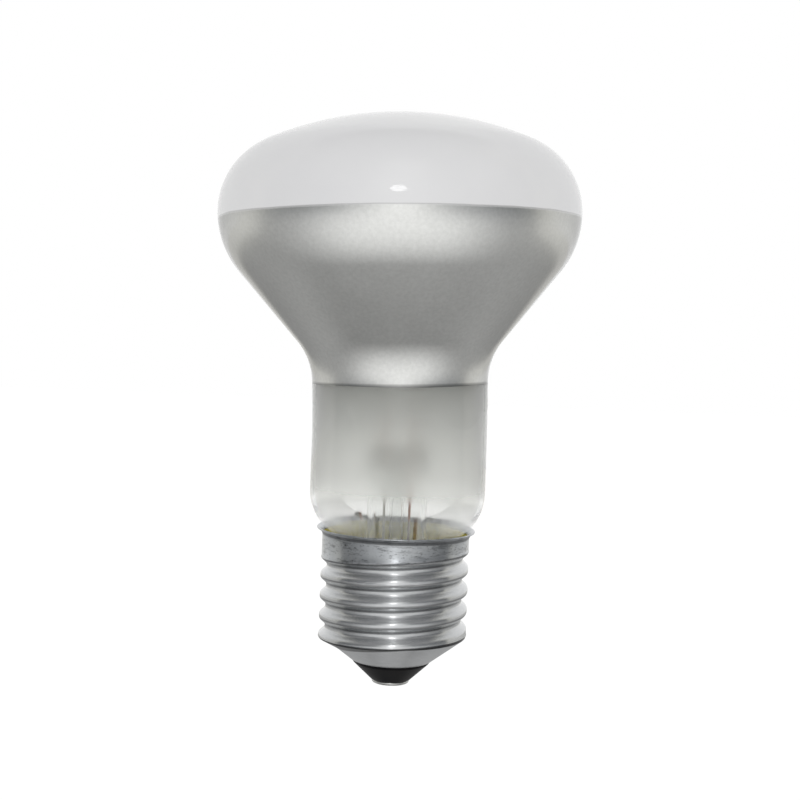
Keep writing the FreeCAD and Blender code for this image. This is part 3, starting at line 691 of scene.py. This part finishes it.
def cap_r(z, a):
    """Outer radius of the shell between those two edges, at an angle from +X."""
    thread = thread_r(abs(above_crest(z, a)))
    ring = MAJOR_R - max(z - last_edge_z(a) - 0.5, 0.0) * flank_slope
    skirt = SKIRT_R - (skirt_edge_z(a) - z) * flank_slope
    r = soft_max(soft_max(thread, ring, CORNER), skirt, CORNER)
    limit = MAJOR_R if z < SKIRT_LIMIT_Z else SKIRT_R + 0.1
    return -soft_max(-limit, -r, CORNER)


def crease_painted_shade(z, a):
    """How much painted shade lies under a crest."""
    if z < last_edge_z(a) + 1.2 or z > skirt_edge_z(a) - 0.3:
        return 0.0
    away = above_crest(z, a)
    return sum(max(1 - abs(away + below) / half, 0.0) * strength for below, half, strength in CREST_PAINTED_SHADE)


def nose_and_thread(a):
    """The outside of the shell as (radius, height, painted shade), from the nose up to the skirt, at an angle."""
    low = last_edge_z(a)
    meet = (low - NOSE_Z + NOSE_RISE * NOSE_R - UNDERSIDE_RISE * MAJOR_R) / (NOSE_RISE - UNDERSIDE_RISE)
    meet = min(max(meet, UNDERSIDE_LEAST_R), MAJOR_R - 0.12)
    meet_z = NOSE_Z + (meet - NOSE_R) * NOSE_RISE
    nose_end = (meet - 0.15, meet_z - 0.15 * NOSE_RISE)
    underside_end = (MAJOR_R - 0.08, max(low - 0.06, meet_z + 0.05))
    column = [(NOSE_R - 0.25, NOSE_Z + 0.02, 0.0), (NOSE_R, NOSE_Z, 0.0)]
    column += [(r, z, 0.0) for r, z in run((NOSE_R, NOSE_Z), nose_end, 10)]
    # The underside of the last crest gets full painted shade, a little less at its edge
    column += [(r, z, 1.0) for r, z in run((meet, meet_z), underside_end, 5)]
    column += [(MAJOR_R - 0.03, low + 0.06, 1.0), (MAJOR_R, low + 0.16, 0.8)]
    first, last = low + 0.25, skirt_edge_z(a) + 0.25
    for row in range(THREAD_ROWS):
        z = first + (last - first) * row / (THREAD_ROWS - 1)
        column.append((cap_r(z, a), z, crease_painted_shade(z, a)))
    column.append((SKIRT_R, last + 0.2, 0.0))
    return column


def rim_and_inside():
    """The rest of the shell, the same all round: the flared rim with its bead, and down inside to the nose."""
    rim_turn = math.acos(1 - (RIM_R - SKIRT_R) / RIM_TURN_R)
    turn_r, turn_z = SKIRT_R + RIM_TURN_R, RIM_Z - RIM_TURN_R * math.sin(rim_turn)
    back_r = RIM_TURN_R + SHEET_T
    flare = [(SKIRT_R, RIM_FOOT_Z), (SKIRT_R, turn_z)]
    flare += arc(turn_r, turn_z, RIM_TURN_R, math.pi, math.pi - rim_turn, 12)
    front, back = flare[-1], on_arc(turn_r, turn_z, back_r, math.pi - rim_turn)
    middle = ((front[0] + back[0]) / 2, (front[1] + back[1]) / 2)
    start = math.atan2(front[1] - middle[1], front[0] - middle[0])
    rest = arc(*middle, SHEET_T / 2, start, start + math.pi, 6)
    rest += arc(turn_r, turn_z, back_r, math.pi - rim_turn, math.pi, 8)
    rest += [(SKIRT_R - SHEET_T, 25.0), (SKIRT_R - SHEET_T, 24.6), (MINOR_R - SHEET_T, 22.2),
             (MINOR_R - SHEET_T, 15.0), (MINOR_R - SHEET_T, 10.2), (10.9, 8.0), (NOSE_R - 0.1, NOSE_Z + 0.35)]
    # Painted shade in a band of the flare under the rim's bead
    flare_with_painted_shade = [(r, z, RIM_PAINTED_SHADE if RIM_Z - 0.9 < z < RIM_Z - 0.3 else 0.0) for r, z in flare]
    return flare_with_painted_shade + [(r, z, 0.0) for r, z in rest]


def screw_shell():
    """The rolled shell, with its painted shade and the height above the skirt's edge kept on each vertex."""
    rest = rim_and_inside()
    verts, darks, above = [], [], []
    for k in range(CAP_SEGMENTS):
        a = 2 * math.pi * k / CAP_SEGMENTS
        for r, z, dark in nose_and_thread(a) + rest:
            verts.append(Vector((r * math.cos(a), r * math.sin(a), z)) * MM)
            darks.append(dark)
            above.append(z - skirt_edge_z(a))
    rows, faces = len(verts) // CAP_SEGMENTS, []
    for k in range(CAP_SEGMENTS):
        one, two = k * rows, (k + 1) % CAP_SEGMENTS * rows
        for row in range(rows):
            after = (row + 1) % rows
            faces.append((one + row, two + row, two + after, one + after))
    obj = finish_mesh("screw_shell", verts, faces, [aluminium], {"dark": darks, "skirt": above})
    face_outwards(obj)
    return obj


shell = screw_shell()
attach(shell, "root")
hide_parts("cap_shell")


# Insulator, contact and solder

insulator = revolve("insulator", [
    (SHANK_R, PLATE_TOP_Z), (3.2, PLATE_TOP_Z), (3.42, 0.84), (3.6, 0.95)] + run((3.6, 0.95), (6.6, 3.78), 8) + [
    (6.76, 3.93), (6.86, 4.08), (6.95, 4.3), (7.0, 4.6), (INSULATOR_R, 6.8), (INSULATOR_R, 7.4), (9.6, 7.6),
    (3.6, 7.6), (SHANK_R, 6.0)], 128, [black])
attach(insulator, "root")
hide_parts("cap_insulator")

plate = revolve("contact_disc", [
    (SHANK_BORE_R, 0.22), (2.8, 0.2)] + arc(2.9, 0.62, 0.42, -math.pi / 2, 0, 8) + [
    (3.3, PLATE_TOP_Z), (SHANK_R, PLATE_TOP_Z), (SHANK_R, SHANK_TOP_Z), (SHANK_BORE_R, SHANK_TOP_Z)],
    96, [contact_metal])
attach(plate, "root")
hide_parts("contact_plate")


def solder_blob():
    """The filled foot of the shank, a low uneven mound on the plate."""
    obj = revolve("contact_blob", [
        (0.0, 0.0), (0.6, 0.0), (1.2, 0.01), (1.7, 0.03), (2.0, 0.07), (2.2, 0.13), (2.33, 0.19), (2.3, 0.21),
        (0.62, 0.21), (0.62, 1.9), (0.0, 1.9)], 64, [solder])
    for vertex in obj.data.vertices:
        if vertex.co.z < 0.2 * MM and vertex.co.xy.length > 1.0 * MM:
            push = 1 - 0.10 * (noise.noise(vertex.co / MM * 0.8) + 0.5)
            vertex.co.x *= min(push, 1.0)
            vertex.co.y *= min(push, 1.0)
    return obj


blob = solder_blob()
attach(blob, "root")
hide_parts("contact_solder")


# Cement

def cement_ring():
    """The cement between the shell and the foot of the glass, with a lumpy top."""
    outline = CEMENT_CORNERS[:1]
    for start, end, steps in zip(CEMENT_CORNERS, CEMENT_CORNERS[1:], CEMENT_STEPS):
        outline += run(start, end, steps)
    obj = revolve("cement", outline, 220, [cement])
    for vertex in obj.data.vertices:
        place = vertex.co / MM
        if place.z > CEMENT_FACE_Z:
            lump = noise.noise(place * 0.8) * 0.5 + noise.noise(place * 2.6) * 0.25
            vertex.co.z -= CEMENT_LUMP * abs(lump) * MM
    return obj


ring = cement_ring()
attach(ring, "root")
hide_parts("capping_cement")


# Stem

def stem_rows():
    """Rows for the outside and the inside of the stem, from its flared foot up to the pinch and its cavity."""
    rise = FLARE_Z - FLARE_LOW_Z
    turn = 2 * math.atan2(SEAL_R - SEAL_T - STEM_R, rise)
    flare_r = rise / math.sin(turn)
    centre_r = STEM_R + flare_r
    outer_rows, inner_rows = [], []
    for k in range(13):
        r, h = on_arc(centre_r, FLARE_Z, flare_r, math.pi + turn - turn * k / 12)
        outer_rows.append((r, r, h, 2))
    for k in range(1, 9):
        outer_rows.append((STEM_R, STEM_R, FLARE_Z + (PINCH_FOOT - FLARE_Z) * k / 8, 2))
    for k in range(1, 13):
        t = step(k / 12)
        outer_rows.append((STEM_R + (PINCH_HALF_W - STEM_R) * t, STEM_R + (PINCH_HALF_D - STEM_R) * t,
                           PINCH_FOOT + (PINCH_FLAT - PINCH_FOOT) * k / 12, 2 + (PINCH_POWER - 2) * t))
    for h, shrink in PINCH_TOP:
        outer_rows.append((PINCH_HALF_W - shrink, PINCH_HALF_D - shrink, h, PINCH_POWER))
    for k in range(12, -1, -1):
        r, h = on_arc(centre_r, FLARE_Z, flare_r + STEM_T, math.pi + turn * k / 12)
        inner_rows.append((r, r, h, 2))
    for k in range(1, 9):
        inner_rows.append((STEM_IN_R, STEM_IN_R, FLARE_Z + (PINCH_FOOT - FLARE_Z) * k / 8, 2))
    for k in range(1, 10):
        t = step(k / 9)
        inner_rows.append((STEM_IN_R + (CAVITY_HALF_W - STEM_IN_R) * t, STEM_IN_R + (CAVITY_HALF_D - STEM_IN_R) * t,
                           PINCH_FOOT + (CAVITY_TOP - PINCH_FOOT) * k / 9, 2 + (CAVITY_POWER - 2) * t))
    return outer_rows, inner_rows


stem_piece = lathe_loft("stem_tube", *stem_rows(), [stem_clear])
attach(stem_piece, "root")
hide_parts("stem_flare")

pump_outside = [(0, 40.4), (1.1, 40.4), (PUMP_R, 40.2)] + run((PUMP_R, 40.2), (PUMP_R, 14.7), 10)
pump_tip = [(1.1, 13.8), (0.8, 13.0), (0.5, 12.6), (0, 12.5), (0, 13.9), (0.5, 14.2), (PUMP_IN_R, 14.9)]
pump_inside = run((PUMP_IN_R, 14.9), (PUMP_IN_R, 39.6), 10) + [(0.6, 39.9), (0, 40.0)]
exhaust = revolve("pump_tube", pump_outside + pump_tip + pump_inside, 48, [stem_clear], closed=False)
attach(exhaust, "root")
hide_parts("exhaust_tube")


# The CAD pieces that stay

node_material = {
    "mirror_coating": mirror_inside,
    "white_coating": white_powder(),
    "support_rod": stem_clear,
    "filament": tungsten,
    "seal_wire_left": copper,
    "seal_wire_right": copper,
    "inner_lead_left": nickel,
    "inner_lead_right": nickel,
    "outer_lead_side": copper,
    "outer_lead_upper": nickel,
    "outer_lead_contact": copper,
    "fuse_sleeve": stem_clear,
    "fuse_wire": nickel,
    "side_solder": solder,
    "support_wire_right": nickel,
    "support_wire_rear": nickel,
    "support_wire_left": nickel,
}
for name, material in node_material.items():
    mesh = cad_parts[name].data
    for index in range(len(mesh.materials)):
        mesh.materials[index] = material


# Floor and surroundings

def bearing(tree, way):
    """Which way a point or direction lies round the lamp: X and Y of a level unit vector, and how far."""
    level = tree.nodes.new("ShaderNodeVectorMath")
    level.operation = "MULTIPLY"
    put(level.inputs[1], (1, 1, 0))
    tree.links.new(way, level.inputs[0])
    unit = tree.nodes.new("ShaderNodeVectorMath")
    unit.operation = "NORMALIZE"
    tree.links.new(level.outputs[0], unit.inputs[0])
    out = tree.nodes.new("ShaderNodeVectorMath")
    out.operation = "LENGTH"
    tree.links.new(level.outputs[0], out.inputs[0])
    split = tree.nodes.new("ShaderNodeSeparateXYZ")
    tree.links.new(unit.outputs[0], split.inputs[0])
    return split.outputs["X"], split.outputs["Y"], out.outputs["Value"]


def tent(tree, across, along):
    """The tent as metal and glass show it: bright in front, darker and bluish at the sides, white behind."""
    depth = ramp(tree, along, [
        (-1.0, 1.1), (-0.985, 0.95), (-0.94, 0.58), (-0.85, (0.29, 0.30, 0.31)), (-0.7, (0.185, 0.195, 0.21)),
        (-0.5, (0.14, 0.15, 0.165)), (-0.02, (0.125, 0.135, 0.145)), (0.05, (0.54, 0.53, 0.49)),
        (0.15, (0.68, 0.67, 0.63)), (0.5, 0.82), (1.0, 1.0)], -1.0, 1.0)
    side = ramp(tree, across, [(-1.0, 0.88), (0.0, 1.0)], -1.0, 1.0)
    return times(tree, depth, side)


def by_ray(tree, background, soft, reflected):
    """One colour for camera rays and light through glass, one for matt surfaces, and one for reflections."""
    path = tree.nodes.new("ShaderNodeLightPath")
    seen = math_node(tree, "MAXIMUM", path.outputs["Is Camera Ray"], path.outputs["Is Transmission Ray"])
    return mix(tree, seen, mix(tree, path.outputs["Is Diffuse Ray"], reflected, soft), background)


def floor_material():
    """A pale floor that the camera sees as white, with the shadow kept.

    Reflections see it dark below the bowl, and brighter under the cap and further out.
    """
    material, tree, shader = new_material("floor")
    put(shader.inputs["Base Color"], (0.2, 0.2, 0.2, 1))
    put(shader.inputs["Roughness"], 0.9)
    put(shader.inputs["Specular IOR Level"], 0.0)
    where = tree.nodes.new("ShaderNodeTexCoord")
    across, along, distance = bearing(tree, where.outputs["Object"])
    split = tree.nodes.new("ShaderNodeSeparateXYZ")
    tree.links.new(where.outputs["Object"], split.inputs[0])
    below = ramp(tree, split.outputs["Y"], [
        (-0.1, 0.04), (-0.01, 0.0), (0.0, 0.05), (0.035, 0.38), (0.1, 0.36)], -0.1, 0.1)
    under_cap = ramp(tree, distance, [(0.016, 0.42), (0.023, 0.0)], 0.0, 0.1)
    below = mix(tree, 1.0, below, under_cap, "LIGHTEN")
    table = ramp(tree, along, [
        (-1.0, 0.92), (-0.85, 0.88), (-0.65, 0.60), (-0.4, 0.32), (0.0, 0.18), (1.0, 0.28)], -1.0, 1.0)
    near = ramp(tree, distance, [
        (0.05, 0.0), (0.085, 0.34), (0.12, 0.62), (0.17, 0.86), (0.28, 1.0)], 0.0, 0.5)
    far = ramp(tree, distance, [(0.5, 0.0), (1.2, 1.0)], 0.0, 2.0)
    depth = mix(tree, far, mix(tree, near, below, table), tent(tree, across, along))
    back = times(tree, ramp(tree, distance, [(0.3, 0.0), (0.55, (0.80, 0.79, 0.75))], 0.0, 1.0),
                 ramp(tree, along, [(0.0, 0.0), (0.12, 0.85), (1.0, 1.0)], -1.0, 1.0))
    depth = mix(tree, 1.0, depth, back, "LIGHTEN")
    glow = tree.nodes.new("ShaderNodeEmission")
    tree.links.new(by_ray(tree, FLOOR_WHITE, FLOOR_SOFT, depth), glow.inputs["Color"])
    both = tree.nodes.new("ShaderNodeAddShader")
    tree.links.new(shader.outputs[0], both.inputs[0])
    tree.links.new(glow.outputs[0], both.inputs[1])
    tree.links.new(both.outputs[0], tree.nodes["Material Output"].inputs["Surface"])
    return material


floor_mesh = bpy.data.meshes.new("floor")
floor_mesh.from_pydata([(x * FLOOR_HALF, y * FLOOR_HALF, FLOOR_Z) for x, y in ((-1, -1), (1, -1), (1, 1), (-1, 1))],
                       [], [(0, 1, 2, 3)])
floor_mesh.materials.append(floor_material())
floor = bpy.data.objects.new("floor", floor_mesh)
bpy.context.scene.collection.objects.link(floor)


def studio_world():
    """White to the camera, an even level for matt surfaces, and the tent for reflections."""
    world = bpy.data.worlds.new("studio")
    world.use_nodes = True
    bpy.context.scene.world = world
    tree = world.node_tree
    background = tree.nodes["Background"]
    where = tree.nodes.new("ShaderNodeTexCoord")
    split = tree.nodes.new("ShaderNodeSeparateXYZ")
    tree.links.new(where.outputs["Generated"], split.inputs[0])
    across, along, _ = bearing(tree, where.outputs["Generated"])
    low = ramp(tree, split.outputs["Z"], [(0.8, 1.0), (0.96, 0.0)], -1.0, 1.0)
    high = ramp(tree, split.outputs["Z"], [
        (0.0, 0.0), (0.3, 0.2), (0.57, 0.33), (1.0, (0.36, 0.36, 0.37))], -1.0, 1.0)
    around = mix(tree, 1.0, times(tree, tent(tree, across, along), low), high, "LIGHTEN")
    front = ramp(tree, split.outputs["Y"], [(-1.0, 1.10), (-0.5, 0.95), (0.0, 0.70), (1.0, 0.62)], -1.0, 1.0)
    above = ramp(tree, split.outputs["Z"], [(0.0, 1.0), (1.0, 0.80)], -1.0, 1.0)
    tree.links.new(by_ray(tree, (1.0, 1.0, 1.0), times(tree, front, above), around), background.inputs["Color"])
    put(background.inputs["Strength"], 1.0)


studio_world()

# Light and camera

key_data = bpy.data.lights.new("key", "AREA")
key_data.shape = "ELLIPSE"
key_data.size, key_data.size_y = KEY_SIZE
key_data.energy = KEY_WATTS
key = bpy.data.objects.new("key", key_data)
key.location = KEY_PLACE
key.rotation_euler = (Vector(KEY_TARGET) - Vector(KEY_PLACE)).to_track_quat("-Z", "Y").to_euler()
bpy.context.scene.collection.objects.link(key)

camera_data = bpy.data.cameras.new("camera")
camera_data.sensor_width = CAMERA_SENSOR
camera_data.lens = CAMERA_LENS
camera_data.clip_start = 0.01
camera_data.clip_end = 20
camera = bpy.data.objects.new("camera", camera_data)
glass_frame = (Matrix.Translation((-bend_r * MM, 0, BEND_LOW_Z * MM)) @ Matrix.Rotation(-LEAN, 4, "Y")
               @ Matrix.Translation((bend_r * MM, 0, -(BEND_LOW_Z + bend_length) * MM)))
camera_place = Matrix.Translation((0, -CAMERA_DISTANCE * MM, CAMERA_HEIGHT * MM))
camera.matrix_world = glass_frame @ camera_place @ Matrix.Rotation(math.pi / 2 - CAMERA_PITCH, 4, "X")
bpy.context.scene.collection.objects.link(camera)
bpy.context.scene.camera = camera
bpy.context.scene.view_settings.view_transform = "Standard"
